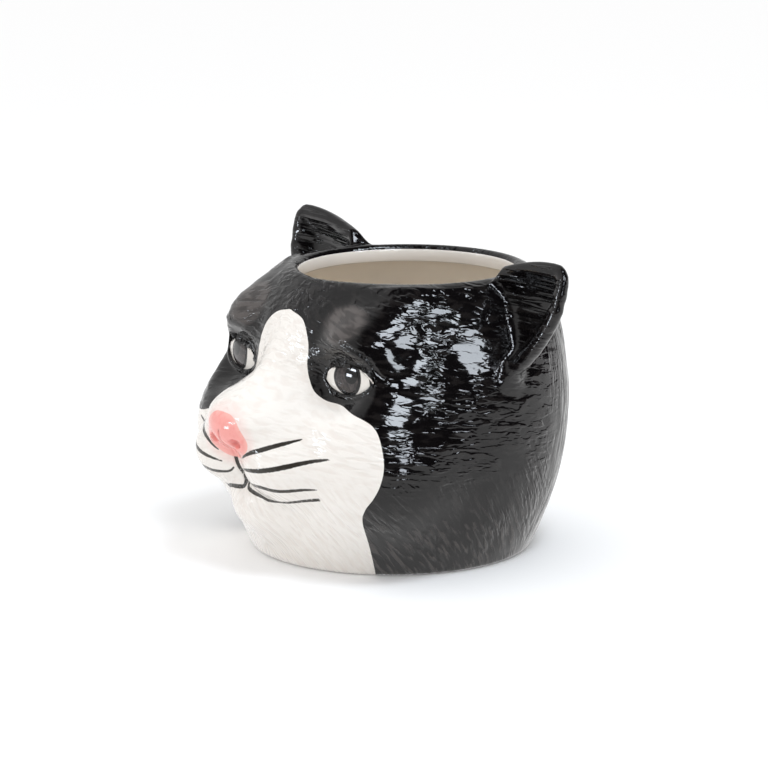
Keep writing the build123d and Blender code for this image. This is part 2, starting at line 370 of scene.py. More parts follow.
def outline_distance(spots, outline, open_runs=0):
    """Distance in a plane to a closed outline, whose last runs may be left out of the distance."""
    pts = np.array(outline, float)
    best = np.full(len(spots), 1e9)
    inside = np.zeros(len(spots), bool)
    for i, (a, b) in enumerate(zip(pts, np.roll(pts, -1, 0))):
        run = b - a
        gone = spots - a
        if i < len(pts) - open_runs:
            t = np.clip((gone @ run) / (run @ run + 1e-12), 0, 1)
            best = np.minimum(best, ((gone - t[:, None] * run) ** 2).sum(1))
        if abs(run[1]) > 1e-9:
            crosses = (a[1] > spots[:, 1]) != (b[1] > spots[:, 1])
            inside ^= crosses & (gone[:, 0] < gone[:, 1] * run[0] / run[1])
    best = np.sqrt(best)
    return np.where(inside, -best, best)


def curve_points(points, steps):
    """Points along a smooth curve through a few given ones."""
    pts = np.array(points, float)
    pts = np.vstack([2 * pts[0] - pts[1], pts, 2 * pts[-1] - pts[-2]])
    out = []
    for i in range(1, len(pts) - 2):
        for t in np.linspace(0, 1, steps, endpoint=False):
            a, b, c, d = pts[i - 1], pts[i], pts[i + 1], pts[i + 2]
            out.append(0.5 * (2 * b + (c - a) * t + (2 * a - 5 * b + 4 * c - d) * t ** 2
                              + (3 * b - a - 3 * c + d) * t ** 3))
    out.append(pts[-2])
    return np.array(out)


ear_outline = curve_points(EAR_OUTLINE, 2)
eye_outline = curve_points(EYE_OPENING + EYE_OPENING[:1], 2)[:-1]
# Carved lines that lie on the skin, each with its radius and how softly it is cut; the coat's operator
# fills it in
skin_lines = []


# The form of the head

def mirrored(p):
    """Places brought to the left half, with the right eye raised to the height of the left one."""
    q = p.copy()
    q[:, 0] = np.abs(q[:, 0])
    near = (p[:, 0] < -5) & (p[:, 1] < -15)
    gone = np.linalg.norm(q[near] - EYE_CENTRE, axis=1)
    q[near, 2] += RIGHT_EYE_DROP * (1 - smooth_step(gone, 11, 25))
    return q


def from_mouth(p):
    """Distance from the axis of the mouth."""
    return np.hypot(p[:, 0], p[:, 1] - MOUTH_SETBACK)


def pot_distance(q):
    """The plain turned pot, whose middle leans back towards the mouth."""
    z = q[:, 2]
    low = np.clip((BELLY_HEIGHT - z) / BELLY_HEIGHT, 0, 1.1)
    high = np.clip((z - BELLY_HEIGHT) / (RIM_HEIGHT - BELLY_HEIGHT), 0, 1.12)
    radius = BELLY_RADIUS - (BELLY_RADIUS - FOOT_RADIUS) * low ** 2
    radius = radius - (BELLY_RADIUS - RIM_RADIUS) * high ** SHOULDER_BEND
    slope = (BELLY_RADIUS - RIM_RADIUS) * SHOULDER_BEND / (RIM_HEIGHT - BELLY_HEIGHT)
    slope = slope * high ** (SHOULDER_BEND - 1)
    lean = MOUTH_SETBACK * smooth_step(z, BELLY_HEIGHT + 10, RIM_HEIGHT)
    return (np.hypot(q[:, 0], q[:, 1] - lean) - radius) / np.sqrt(1 + slope ** 2)


def ear_distance(q, scoop=EAR_SCOOP):
    """Distance to the scooped left ear, and places in the ear's own axes."""
    spots = (q - EAR_START) @ EAR_AXES
    d = np.full(len(q), 30.0)
    near = ((spots > EAR_LOW) & (spots < EAR_HIGH)).all(1)
    c = spots[near]
    edge = outline_distance(c[:, :2], ear_outline)
    front = c[:, 2] - EAR_FRONT
    blank = soft_cut(soft_cut(ellipsoid(c, *EAR_BACK), edge, 3.0), front, 2.0)
    hollow = scoop * smooth_step(-edge, 1.8, 10.5) * smooth_step(c[:, 1], -9, 4)
    d[near] = soft_cut(blank, front + hollow, 1.4)
    return d, spots


def face_distance(q):
    """The pot with its brow, cheeks, bridge, muzzle, chin and eye sockets."""
    d = soft_cut(pot_distance(q), (q - FACE_PLACE) @ FACE_WAY, 10)
    for form, blend in SKULL_FORMS:
        d = soft_union(d, ellipsoid(q, *form), blend)
    d = soft_union(d, rounded_bar(q, BRIDGE_TOP, BRIDGE_FOOT, BRIDGE_RADIUS), 7)
    for form, blend in MUZZLE_FORMS:
        d = soft_union(d, ellipsoid(q, *form), blend)
    return soft_cut(d, -ellipsoid(q, *EYE_SOCKET), 5)


def eyeball_depth(ab):
    """How far out the eyeball's surface lies at a place in the eye's own axes."""
    centre = (np.array(EYEBALL_CENTRE) - EYE_CENTRE) @ EYE_AXES
    rx, ry, rz = EYEBALL_RADII
    rest = 1 - ((ab[:, 0] - centre[0]) / rx) ** 2 - ((ab[:, 1] - centre[1]) / rz) ** 2
    return centre[2] + ry * np.sqrt(np.clip(rest, 0, 1))


def lidded(d, f, e):
    """The face with the skin and the rolled edges of the lids round an open eye."""
    edge = outline_distance(e[:, :2], eye_outline)
    upper = smooth_step(e[:, 1], -1.5, 1.5)
    taper = 1 - 0.6 * smooth_step(np.abs(e[:, 0] - EYE_MIDDLE), 6, 12)
    thick = (LID_THICKNESS + UPPER_LID_EXTRA * upper) * taper
    lid = np.hypot(edge - thick * 0.8, e[:, 2] - eyeball_depth(e[:, :2]) - 0.6 * thick) - thick
    skin = ellipsoid(f, EYEBALL_CENTRE, np.array(EYEBALL_RADII) + LID_COVER, 0.0, EYE_TURN)
    d = soft_union(soft_union(d, skin, 2.0), lid, 0.9)
    hole = np.maximum(edge, np.abs(e[:, 2] - HOLE_MIDDLE) - HOLE_HALF_DEPTH)
    return soft_cut(d, -hole, 0.5)


def carved(d, q):
    """The face with its nose leather, nostrils, carved lines and lids."""
    front = q[:, 1] < -20
    if not front.any():
        return d
    f = q[front]
    g = soft_union(d[front], ellipsoid(f, *NOSE_LEATHER), 1.6)
    g = soft_union(g, ellipsoid(f, *NOSE_WING), 1.4)
    g = soft_cut(g, -ellipsoid(f, *NOSTRIL), 0.8)
    for points, radius, blend in skin_lines:
        near = ((f > points.min(0) - CARVED_REACH) & (f < points.max(0) + CARVED_REACH)).all(1)
        if near.any():
            g[near] = soft_cut(g[near], radius - line_distance(f[near], points)[0], blend)
    e = (f - EYE_CENTRE) @ EYE_AXES
    near = (np.abs(e[:, 0] - EYE_MIDDLE) < 17) & (np.abs(e[:, 1]) < 10)
    if near.any():
        g[near] = lidded(g[near], f[near], e[near])
    d = d.copy()
    d[front] = g
    return d


def head_distance(p, details=True, scoop=EAR_SCOOP):
    """The whole outside of the head with its ears."""
    q = mirrored(p)
    d = face_distance(q)
    if details:
        d = carved(d, q)
    return soft_union(d, ear_distance(q, scoop)[0], EAR_JOIN)


def body_distance(p, details=True, scoop=EAR_SCOOP):
    """The glazed outside: head and ears, with the lip of the mouth and the cut at the foot."""
    d = head_distance(p, details, scoop)
    z = p[:, 2]
    r = from_mouth(p)
    d = soft_cut(d, (z - RIM_HEIGHT) - np.clip(r - LIP_OUTSIDE, 0, 100) * LIP_FALL, LIP_ROUND)
    bore = np.maximum(r - MOUTH_RADIUS, BORE_FLOOR - z)
    d = soft_cut(d, -bore, LIP_ROUND)
    return soft_cut(d, BASE_HEIGHT - z, BASE_ROUND)


def newton_step(field, p, probe=0.02, longest=2.0):
    """Step that takes places towards the zero of a field."""
    here = field(p)
    g = np.stack([(field(p + shift) - here) for shift in np.eye(3) * probe], 1) / probe
    size = (g ** 2).sum(1) + 1e-6
    step = g * (here / size)[:, None]
    length = np.linalg.norm(step, axis=1)
    return step * np.minimum(1, longest / np.maximum(length, 1e-9))[:, None]


def on_skin(points, rounds=12):
    """Move places onto the plain outside of the head."""
    p = np.array(points, float)
    for _ in range(rounds):
        p = p - newton_step(lambda x: head_distance(x, False), p)
    return p


def white_distance(p):
    """Distance to the edge of the white front; less than zero on the white."""
    q = mirrored(p)
    bearing = np.arctan2(q[:, 0], -q[:, 1]) / (np.pi / 2)
    spot = np.stack([bearing * QUARTER_TURN, q[:, 2]], 1)
    result = np.full(len(p), 60.0)
    for side, points in ((1, WHITE_EDGE), (-1, WHITE_EDGE_RIGHT)):
        here = (p[:, 0] * side >= 0) & (bearing < WHITE_LIMIT)
        edge = curve_points(points, 6) * np.array([QUARTER_TURN, RIM_HEIGHT])
        outline = np.vstack([edge, [[OUT_OF_REACH, edge[-1][1]], [OUT_OF_REACH, edge[0][1]]]])
        result[here] = outline_distance(spot[here], outline, 3)
    return result


# Meshes

def to_frame(p):
    """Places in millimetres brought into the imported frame."""
    return (p + np.array([FOOT_X / MM, FOOT_Y / MM, 0])) * MM


def bmesh_points(bm):
    """Places of all vertices."""
    return np.array([v.co[:] for v in bm.verts], float)


def set_points(bm, p):
    """Move all vertices to given places."""
    for v, spot in zip(bm.verts, p):
        v.co = spot


def link(name, mesh):
    """Object of a mesh, put into the scene."""
    obj = bpy.data.objects.new(name, mesh)
    bpy.context.scene.collection.objects.link(obj)
    return obj


def remeshed(bm, size):
    """A bmesh of even quads over a closed form."""
    mesh = bpy.data.meshes.new("draft")
    bm.to_mesh(mesh)
    obj = link("draft", mesh)
    step = obj.modifiers.new("even", "REMESH")
    step.mode = "VOXEL"
    step.voxel_size = size
    step.use_smooth_shade = True
    graph = bpy.context.evaluated_depsgraph_get()
    graph.update()
    out = bmesh.new()
    done = bpy.data.meshes.new_from_object(obj.evaluated_get(graph))
    out.from_mesh(done)
    bpy.data.objects.remove(obj)
    bpy.data.meshes.remove(mesh)
    bpy.data.meshes.remove(done)
    return out


def settle(bm, field, rounds):
    """Move all vertices onto the zero of a field, and give their places."""
    p = bmesh_points(bm)
    for _ in range(rounds):
        p = p - newton_step(field, p)
    set_points(bm, p)
    return p


def in_balls(bm, balls):
    """Faces whose first corner lies in one of the balls, on either side of the head."""
    chosen = []
    for face in bm.faces:
        at = face.verts[0].co
        spot = Vector((abs(at.x), at.y, at.z))
        if any((spot - Vector(centre)).length < radius for centre, radius in balls):
            chosen.append(face)
    return chosen


def refine(bm, chosen):
    """Halve every edge of the chosen faces."""
    edges = list({e for f in chosen for e in f.edges})
    bmesh.ops.subdivide_edges(bm, edges=edges, cuts=1, use_grid_fill=True)


def face_blank():
    """Ball whose vertices are moved out from the middle of the head to the plain face."""
    bm = bmesh.new()
    bmesh.ops.create_uvsphere(bm, u_segments=120, v_segments=80, radius=1.0)
    ways = bmesh_points(bm)
    ways /= np.linalg.norm(ways, axis=1)[:, None]
    near, far = np.full(len(ways), 10.0), np.full(len(ways), 100.0)
    for _ in range(22):
        half = (near + far) / 2
        p = HEAD_MIDDLE + ways * half[:, None]
        ends = np.maximum(BASE_HEIGHT - p[:, 2], p[:, 2] - RIM_HEIGHT)
        within = np.maximum(face_distance(mirrored(p)), ends) < 0
        near = np.where(within, half, near)
        far = np.where(within, far, half)
    set_points(bm, HEAD_MIDDLE + ways * near[:, None])
    return bm


def add_ear_blank(bm, side):
    """Round blank of one ear, flat in front."""
    made = bmesh.ops.create_uvsphere(bm, u_segments=48, v_segments=32, radius=1.0)["verts"]
    for v in made:
        spot = np.array(v.co[:]) * EAR_BLANK_RADII + EAR_BLANK_CENTRE
        spot[2] = min(spot[2], EAR_FRONT)
        spot = EAR_START + EAR_AXES @ spot
        v.co = (side * spot[0], spot[1], spot[2])
    if side < 0:
        bmesh.ops.reverse_faces(bm, faces=list({f for v in made for f in v.link_faces}))


def head_start(voxel):
    """Closed even mesh of the head, its ears and its mouth, settled on the form."""
    bm = face_blank()
    for side in (1, -1):
        add_ear_blank(bm, side)
    first = remeshed(bm, DRAFT_MESH)
    bm.free()
    p = bmesh_points(first)
    sunk = (p[:, 2] > SUNK_FROM) & (from_mouth(p) < MOUTH_RADIUS)
    p[sunk, 2] = SUNK_TO
    set_points(first, p)
    settle(first, lambda x: body_distance(x, False, 0.0), 6)
    out = remeshed(first, voxel)
    first.free()
    settle(out, lambda x: body_distance(x, False, EAR_FIRST_SCOOP), 3)
    settle(out, lambda x: body_distance(x, False), 4)
    return out


def add_layer(bm, name, values):
    """Store a value at each vertex."""
    layer = bm.verts.layers.float.get(name) or bm.verts.layers.float.new(name)
    for v, value in zip(bm.verts, values):
        v[layer] = value


def contour_cut(bm, name):
    """Cut the mesh along the zero of a layer, so that a glaze ends on a clean edge."""
    layer = bm.verts.layers.float[name]
    for v in bm.verts:
        if abs(v[layer]) < 1e-4:
            v[layer] = 0.0
    made = []
    for e in [e for e in bm.edges if e.verts[0][layer] * e.verts[1][layer] < 0]:
        a, b = e.verts[0][layer], e.verts[1][layer]
        _, v = bmesh.utils.edge_split(e, e.verts[0], min(max(a / (a - b), 0.03), 0.97))
        v[layer] = 0.0
        made.append(v)
    bmesh.ops.connect_verts(bm, verts=made)


def face_values(bm, name):
    """Mean of a layer over the corners of each face."""
    layer = bm.verts.layers.float[name]
    return np.array([sum(v[layer] for v in f.verts) / len(f.verts) for f in bm.faces])


def coat_piece(bm, name, keep, normals, material):
    """A piece of the glazed coat, shaded as if it were still one with its neighbours."""
    piece = bm.copy()
    bmesh.ops.delete(piece, geom=[f for f, k in zip(piece.faces, keep) if not k], context="FACES")
    origin = piece.verts.layers.int["origin"]
    ids = [v[origin] for v in piece.verts]
    mesh = bpy.data.meshes.new(name)
    piece.to_mesh(mesh)
    piece.free()
    if not len(mesh.polygons):
        raise RuntimeError(name + " came out empty")
    mesh.shade_smooth()
    mesh.normals_split_custom_set_from_vertices(normals[ids].tolist())
    mesh.materials.append(material)
    return link(name, mesh)


# Where the glazes, the brushed lines and the fur are

def fur_arc(p):
    """Way round the head from the middle of the face, in millimetres."""
    return np.arctan2(np.abs(p[:, 0]), -p[:, 1]) * BELLY_RADIUS


def ear_tuft(p, ear, spots):
    """Share of deeper fur in the scoop of an ear."""
    tuft = np.zeros(len(p))
    near = (ear < 2) & (spots[:, 2] > -9) & (p[:, 1] < 25)
    tuft[near] = smooth_step(-outline_distance(spots[near, :2], ear_outline), 2.5, 6.0)
    return tuft


def eye_hole(p):
    """Distance to the hole that the coat has for an eye; less than zero in the hole."""
    e = (mirrored(p) - EYE_CENTRE) @ EYE_AXES
    opening = np.full(len(p), 5.0)
    near = (np.abs(e[:, 0] - EYE_MIDDLE) < 15) & (np.abs(e[:, 1]) < 9) & (np.abs(e[:, 2]) < 9)
    opening[near] = outline_distance(e[near, :2], eye_outline) + COAT_HOLE_INSET
    return opening


def brushed_edge(q):
    """Distance to the edge of the brushed whiskers, philtrum and mouth; less than zero on them."""
    lines = np.full(len(q), 9.0)
    front = q[:, 1] < -40
    for points in WHISKERS:
        d, t = line_distance(q[front], on_skin(curve_points(points, 4)))
        width = WHISKER_WIDTH * np.sin(np.pi * np.clip(t * 0.93 + 0.04, 0, 1)) ** 0.6
        lines[front] = np.minimum(lines[front], d - width)
    for points, width in BRUSHED_LINES:
        d, t = line_distance(q[front], on_skin(curve_points(points, 4)))
        lines[front] = np.minimum(lines[front], d - width * (1 - 0.45 * t))
    return lines


def nose_distance(q):
    """Distance to the edge of the pink nose; less than zero on it."""
    nose = np.full(len(q), 9.0)
    near = q[:, 1] < -52
    half = curve_points(NOSE_OUTLINE, 4)
    outline = np.vstack([half, half[-2:0:-1] * np.array([-1, 1])])
    nose[near] = outline_distance(np.stack([q[near, 0] * 1.02, q[near, 2]], 1), outline)
    return nose


def paint_layers(p, plain):
    """Values at each place that say where each glaze, brushed line and run of fur is."""
    q = mirrored(plain)
    arc = fur_arc(p)
    ear, spots = ear_distance(q)
    # Where the patch of painted reflection over each brow is
    brow = np.linalg.norm((mirrored(p) - BROW_REFLECTION[0]) / BROW_REFLECTION[1], axis=1)
    in_mouth = (from_mouth(p) < LIP_REACH) & (p[:, 2] > 80)
    return {
        "arc": arc,
        "height": p[:, 2],
        "upright": smooth_step(arc / BELLY_RADIUS / (np.pi / 2), 1.2, 1.5),
        "slanted": 1 - smooth_step(p[:, 2], 24, 44),
        "white_edge": white_distance(plain),
        "ear_edge": ear - face_distance(q),
        "tuft": ear_tuft(p, ear, spots),
        "brow": 1 - smooth_step(brow, 0.7, 1.0),
        "eye_edge": eye_hole(p),
        "line_edge": brushed_edge(q),
        "nose_edge": nose_distance(q),
        "lip_edge": np.where(in_mouth, LIP_HEIGHT - p[:, 2], -5),
        "nostril": np.linalg.norm((mirrored(p) - NOSTRIL_PAINT) * NOSTRIL_STRETCH, axis=1),
    }


def fur_relief(p, layers):
    """Carved fur that is coarse enough to be in the mesh: soft ridges along the strokes."""
    arc = layers["arc"]
    upright, slanted = layers["upright"], layers["slanted"]
    out = np.zeros(len(p))
    runs = (
        ((1 - upright) * (1 - slanted), LEVEL_FUR),
        ((1 - upright) * slanted, SLANTED_FUR),
        (upright, UPRIGHT_FUR),
    )
    for weight, (turn, _, _, seed) in runs:
        c, s = np.cos(radians(turn)), np.sin(radians(turn))
        along = (arc * c + p[:, 2] * s) / RIDGE_LENGTH
        across = (p[:, 2] * c - arc * s) / RIDGE_WIDTH
        for i in np.where(weight > 0.01)[0]:
            out[i] += weight[i] * noise.noise((along[i], across[i], seed))
    return out


def fur_strength(p, layers):
    """Share of the full depth: none at eyes, lines, nose, lip and foot, less on white, most in the ears."""
    e = (mirrored(p) - EYE_CENTRE) @ EYE_AXES
    from_eye = np.hypot((e[:, 0] - EYE_MIDDLE) / 1.6, e[:, 1])
    lip = smooth_step(p[:, 2], 90.5, LIP_HEIGHT) * (from_mouth(p) < 45)
    share = smooth_step(from_eye, 7, 12) * smooth_step(layers["line_edge"], 0.2, 2.0)
    share *= smooth_step(layers["nose_edge"], 0.0, 3.0) * smooth_step(p[:, 2], 2, 8) * (1 - lip)
    share *= 0.45 + 0.55 * smooth_step(layers["white_edge"], -3, 1)
    return share * (1 + 1.6 * layers["tuft"])


# Materials

def node(tree, kind, inputs=(), output=0, **settings):
    """Add a shader node with its settings, input values and links, and give one of its outputs."""
    made = tree.nodes.new("ShaderNode" + kind)
    for key, value in settings.items():
        setattr(made, key, value)
    for socket, value in inputs.items() if isinstance(inputs, dict) else enumerate(inputs):
        if isinstance(value, bpy.types.NodeSocket):
            tree.links.new(value, made.inputs[socket])
        else:
            made.inputs[socket].default_value = value
    return made.outputs[output] if len(made.outputs) else None


def new_material(name):
    """Empty material and its node tree."""
    mat = bpy.data.materials.new(name)
    mat.use_nodes = True
    mat.node_tree.nodes.clear()
    return mat, mat.node_tree


def surface(tree, colour, roughness, height, depth, strength=1.0):
    """Close a material: its colour and gloss over a relief of a depth in millimetres."""
    relief = node(tree, "Bump", {"Height": height, "Distance": depth * MM, "Strength": strength})
    shade = node(tree, "BsdfPrincipled", {
        "Base Color": colour, "Roughness": roughness, "IOR": GLAZE_IOR, "Normal": relief})
    node(tree, "OutputMaterial", {"Surface": shade})


def grain(tree, cells, detail):
    """Uneven pattern with so many cells in a metre."""
    spot = node(tree, "TexCoord", output="Object")
    return node(tree, "TexNoise", {"Vector": spot, "Scale": cells, "Detail": detail}, "Fac")


def strokes(tree, turn, wide, long, seed):
    """Short carved fur strokes in one direction: turn 0 runs round the head, 90 up and down."""
    arc, height = (node(tree, "Attribute", output="Fac", attribute_name=name) for name in ("arc", "height"))
    c, s = np.cos(radians(turn)), np.sin(radians(turn))
    places = []
    for arc_share, height_share in ((c / long, s / long), (-s / wide, c / wide)):
        first = node(tree, "Math", (arc, arc_share), **MULTIPLY)
        second = node(tree, "Math", (height, height_share), **MULTIPLY)
        places.append(node(tree, "Math", (first, second), **ADD))
    spot = node(tree, "CombineXYZ", (*places, seed))
    return node(tree, "TexNoise", {
        "Vector": spot, "Scale": 1.0, "Detail": 1.5, "Roughness": 0.5, "Distortion": 0.35}, "Fac")


def fur_height(tree):
    """Height of the carved fur: level strokes on the cheeks, slanted on the neck, upright behind."""
    fur = strokes(tree, *LEVEL_FUR)
    for name, run in (("slanted", SLANTED_FUR), ("upright", UPRIGHT_FUR)):
        share = node(tree, "Attribute", output="Fac", attribute_name=name)
        fur = node(tree, "Mix", {0: share, 2: fur, 3: strokes(tree, *run)})
    return fur


def black_glaze(glaze):
    """Black gloss glaze, poured over the carved fur and fired.

    It gives a wet black mirror that the fur breaks into short glints. Its fur crests carry painted
    reflection in a brownish grey, faint all over and stronger on the low neck, and so does a patch over each
    brow.
    """
    mat, tree = new_material("black_glaze_over_fur")
    fur = fur_height(tree)
    ridge = node(tree, "MapRange", (fur, 0.40, 0.60), **SMOOTH)
    crest = node(tree, "MapRange", (fur, 0.50, 0.66), **SMOOTH)
    height, brow, tuft = (node(tree, "Attribute", output="Fac", attribute_name=name)
                          for name in ("height", "brow", "tuft"))
    # Painted reflection: fur crests a little lighter everywhere and much lighter towards the bottom, and a
    # patch over each brow
    low = node(tree, "MapRange", (height, 30.0, 6.0), **SMOOTH)
    low = node(tree, "Math", (low, 0.30, 0.05), **MULTIPLY_ADD)
    low = node(tree, "Math", (crest, low), **MULTIPLY)
    on_brow = node(tree, "Math", (ridge, 0.25, 0.25), **MULTIPLY_ADD)
    painted_reflection = node(tree, "Math", (brow, on_brow, low), **MULTIPLY_ADD)
    colour = node(tree, "Mix", {0: painted_reflection, 6: (*glaze.black, 1), 7: REFLECTION_GREY}, 2, **COLOURS)
    pools = node(tree, "MapRange", (grain(tree, POOLS, 1.0), 0.38, 0.62, 0.15, 1.0), **SMOOTH)
    tufted = node(tree, "Math", (tuft, 2.2, 1.0), **MULTIPLY_ADD)
    relief = node(tree, "Math", (ridge, pools), **MULTIPLY)
    relief = node(tree, "Math", (relief, tufted), **MULTIPLY)
    surface(tree, colour, roughness=0.07, height=relief, depth=0.22)
    return mat


def white_glaze(glaze):
    """Warm white gloss glaze with underglaze lines put on by brush.

    It gives a milky shine, with painted shade that makes the grooves of the fur a little darker, a blush
    next to the nose, and lines with an edge that the brush left uneven.
    """
    mat, tree = new_material("white_glaze_with_brushed_lines")
    fur = fur_height(tree)
    # Painted shade: the white is a little darker in the grooves of the fur
    crest = node(tree, "MapRange", (fur, 0.30, 0.55), **SMOOTH)
    colour = node(tree, "Mix", {0: crest, 6: GROOVE_SHADE_WHITE, 7: (*glaze.white, 1)}, 2, **COLOURS)
    nose = node(tree, "Attribute", output="Fac", attribute_name="nose_edge")
    blush = node(tree, "MapRange", (nose, 4.5, 0.5, 0.0, 0.22), **SMOOTH)
    colour = node(tree, "Mix", {0: blush, 6: colour, 7: (*glaze.pink, 1)}, 2, **COLOURS)
    edge = node(tree, "Attribute", output="Fac", attribute_name="line_edge")
    edge = node(tree, "Math", (grain(tree, BRUSH_GRAIN, 2.0), 0.35, edge), **MULTIPLY_ADD)
    line = node(tree, "MapRange", (edge, 0.32, 0.04), **SMOOTH)
    colour = node(tree, "Mix", {0: line, 6: colour, 7: (*glaze.line, 1)}, 2, **COLOURS)
    relief = node(tree, "MapRange", (fur, 0.36, 0.64), **SMOOTH)
    surface(tree, colour, roughness=0.10, height=relief, depth=0.16)
    return mat


def pink_glaze(glaze):
    """Salmon pink gloss glaze, dabbed on the nose and fired.

    It gives a soft mottle, paler where it drew back from the rounded edge and darker in the nostrils.
    """
    mat, tree = new_material("pink_nose_glaze")
    nose = node(tree, "Attribute", output="Fac", attribute_name="nose_edge")
    edge = node(tree, "MapRange", (nose, -2.2, -0.2, 0.0, 0.5), **SMOOTH)
    mottle = grain(tree, MOTTLES, 3.0)
    deeper = node(tree, "MapRange", (mottle, 0.5, 0.72, 0.0, 0.5), **SMOOTH)
    nostril = node(tree, "Attribute", output="Fac", attribute_name="nostril")
    inside = node(tree, "MapRange", (nostril, 1.6, 0.6), **SMOOTH)
    colour = node(tree, "Mix", {0: edge, 6: (*glaze.pink, 1), 7: EDGE_PINK}, 2, **COLOURS)
    colour = node(tree, "Mix", {0: deeper, 6: colour, 7: MOTTLE_PINK}, 2, **COLOURS)
    colour = node(tree, "Mix", {0: inside, 6: colour, 7: NOSTRIL_PINK}, 2, **COLOURS)
    surface(tree, colour, roughness=0.10, height=mottle, depth=0.12)
    return mat


def cream_glaze(name, colour):
    """Cream gloss glaze, poured into the pot and out again.

    It gives a warm shine that is a little darker and higher where the glaze pooled.
    """
    mat, tree = new_material(name)
    pool = grain(tree, LINING_POOLS, 2.0)
    share = node(tree, "MapRange", (pool, 0.35, 0.7), **SMOOTH)
    pooled = (*(c * 0.93 for c in colour), 1)
    shade = node(tree, "Mix", {0: share, 6: (*colour, 1), 7: pooled}, 2, **COLOURS)
    surface(tree, shade, roughness=0.12, height=pool, depth=0.5, strength=0.5)
    return mat


def eye_glaze(glaze):
    """Off-white gloss glaze over a painted charcoal iris with a black ring and pupil.

    It gives the smoothest shine of the pot, with a fine step at the ring that catches the light.
    """
    mat, tree = new_material("glazed_eye")
    iris, pupil = (node(tree, "Attribute", output="Fac", attribute_name=name) for name in ("iris", "pupil"))
    flecks = node(tree, "MapRange", (grain(tree, IRIS_GRAIN, 2.0), 0.35, 0.7), **SMOOTH)
    flecked = node(tree, "Mix", {0: flecks, 6: IRIS_DARK, 7: IRIS_LIGHT}, 2, **COLOURS)
    disc = node(tree, "MapRange", (iris, 1.03, 0.97), **SMOOTH)
    colour = node(tree, "Mix", {0: disc, 6: EYE_WHITE, 7: flecked}, 2, **COLOURS)
    outside = node(tree, "MapRange", (iris, 0.80, 0.86), **SMOOTH)
    inside = node(tree, "MapRange", (iris, 1.05, 0.99), **SMOOTH)
    ring = node(tree, "Math", (outside, inside), **MULTIPLY)
    colour = node(tree, "Mix", {0: ring, 6: colour, 7: RING_BLACK}, 2, **COLOURS)
    dot = node(tree, "MapRange", (pupil, 1.08, 0.95), **SMOOTH)
    colour = node(tree, "Mix", {0: dot, 6: colour, 7: PUPIL_BLACK}, 2, **COLOURS)
    iris_height = node(tree, "MapRange", (iris, 0.86, 0.80), **SMOOTH)
    ball_height = node(tree, "MapRange", (iris, 0.99, 1.05), **SMOOTH)
    step = node(tree, "Math", (iris_height, ball_height), **ADD)
    surface(tree, colour, roughness=0.05, height=step, depth=0.12)
    return mat


def bare_clay(glaze):
    """Fired earthenware, wiped free of glaze and ground flat.

    It gives a dull, chalky cream without a highlight, speckled by its grit.
    """
    mat, tree = new_material("bare_fired_clay")
    grit = grain(tree, CLAY_GRIT, 3.0)
    share = node(tree, "MapRange", (grit, 0.35, 0.65), **SMOOTH)
    darker = (*(c * 0.82 for c in glaze.clay), 1)
    colour = node(tree, "Mix", {0: share, 6: (*glaze.clay, 1), 7: darker}, 2, **COLOURS)
    surface(tree, colour, roughness=0.75, height=grit, depth=0.05)
    return mat


# Settings

class PlanterForm(bpy.types.PropertyGroup):
    coat_mesh: FloatProperty(name="Coat mesh", description="Spacing of the glazed coat's mesh",
                             default=0.98 * MM, unit="LENGTH")
    fur_depth: FloatProperty(name="Fur depth", description="Depth of the carved fur in the mesh",
                             default=0.26 * MM, unit="LENGTH")


class PlanterGlaze(bpy.types.PropertyGroup):
    black: FloatVectorProperty(name="Black", description="Black glaze", subtype="COLOR",
                               default=linear("#0b090a"))
    white: FloatVectorProperty(name="White", description="Warm white glaze", subtype="COLOR",
                               default=linear("#f0ebe5"))
    pink: FloatVectorProperty(name="Pink", description="Pink glaze of the nose", subtype="COLOR",
                              default=linear("#f3a39c"))
    cream: FloatVectorProperty(name="Cream", description="Cream glaze inside", subtype="COLOR",
                               default=linear("#f2e9dc"))
    clay: FloatVectorProperty(name="Clay", description="Bare fired clay of the foot", subtype="COLOR",
                              default=linear("#d8cbb8"))
    line: FloatVectorProperty(name="Line", description="Dark brushed lines", subtype="COLOR",
                              default=linear("#34312c"))


# Operators

def settled_head(form):
    """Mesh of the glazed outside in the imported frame, with its layers and its fur."""
    bm = head_start(form.coat_mesh / MM)
    refine(bm, in_balls(bm, REFINE_ONCE))
    refine(bm, in_balls(bm, REFINE_TWICE))
    plain = settle(bm, lambda x: body_distance(x, False), 2)
    p = plain.copy()
    fine = (p[:, 1] < -22) & (np.abs(p[:, 0]) < 50) & (p[:, 2] < 84)
    for _ in range(4):
        p[fine] = p[fine] - newton_step(body_distance, p[fine])
    set_points(bm, p)
    bm.normal_update()
    layers = paint_layers(p, plain)
    for name, values in layers.items():
        add_layer(bm, name, values)
    ways = np.array([v.normal[:] for v in bm.verts])
    height = fur_relief(p, layers) * fur_strength(p, layers) * form.fur_depth / MM
    set_points(bm, to_frame(p + ways * height[:, None]))
    return bm


